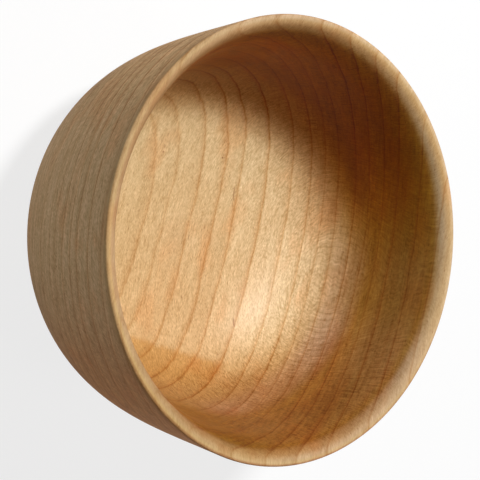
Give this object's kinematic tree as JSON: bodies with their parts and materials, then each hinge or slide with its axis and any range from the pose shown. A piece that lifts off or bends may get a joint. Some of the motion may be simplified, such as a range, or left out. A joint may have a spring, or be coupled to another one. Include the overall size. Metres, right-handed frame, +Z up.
{
  "type": "wooden bowl",
  "caption": "Deep round turned wooden bowl with nearly upright sides, a lip rounded over towards the inside, a dished floor and a flat foot.",
  "frame": {"origin": "centre of the foot, on the surface the bowl stands on", "axes": "+Z up along the turning axis; +X runs along the grain of the wood, +Y across it"},
  "size_m": [0.12, 0.12, 0.0665],
  "materials": {
    "wood": "satin oiled wood"
  },
  "bodies": {
    "root": {"bowl": "wood"}
  },
  "joints": []
}
